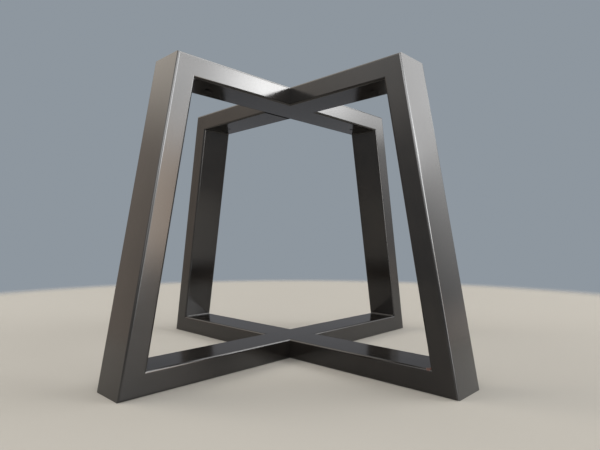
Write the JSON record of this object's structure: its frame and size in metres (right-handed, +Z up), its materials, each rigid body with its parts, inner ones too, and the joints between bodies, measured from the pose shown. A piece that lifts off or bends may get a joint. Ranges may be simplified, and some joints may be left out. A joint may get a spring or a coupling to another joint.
{
  "type": "table base",
  "caption": "Welded steel table base: trapezoid frames of flat rectangular tube that cross at right angles, legs leaning in towards the top, screw holes in the top arms.",
  "frame": {"origin": "on the floor, under the middle of the crossing", "axes": "+Z up; +X along the frame whose bars run through the crossing; +Y along the frame whose bars are cut in two there"},
  "size_m": [1.025, 1.025, 0.72],
  "materials": {
    "tube_coat": "satin",
    "weld_coat": "satin"
  },
  "bodies": {
    "root": {"corner_weld_bottom_front": "weld_coat", "corner_weld_bottom_left": "weld_coat", "corner_weld_bottom_rear": "weld_coat", "corner_weld_bottom_right": "weld_coat", "corner_weld_top_front": "weld_coat", "corner_weld_top_left": "weld_coat", "corner_weld_top_rear": "weld_coat", "corner_weld_top_right": "weld_coat", "halved_bottom_bar_front": "tube_coat", "halved_bottom_bar_rear": "tube_coat", "halved_top_bar_front": "tube_coat", "halved_top_bar_rear": "tube_coat", "leg_front": "tube_coat", "leg_left": "tube_coat", "leg_rear": "tube_coat", "leg_right": "tube_coat", "seam_weld_bottom_front": "weld_coat", "seam_weld_bottom_rear": "weld_coat", "seam_weld_top_front": "weld_coat", "seam_weld_top_rear": "weld_coat", "through_bottom_bar": "tube_coat", "through_top_bar": "tube_coat"}
  },
  "joints": []
}
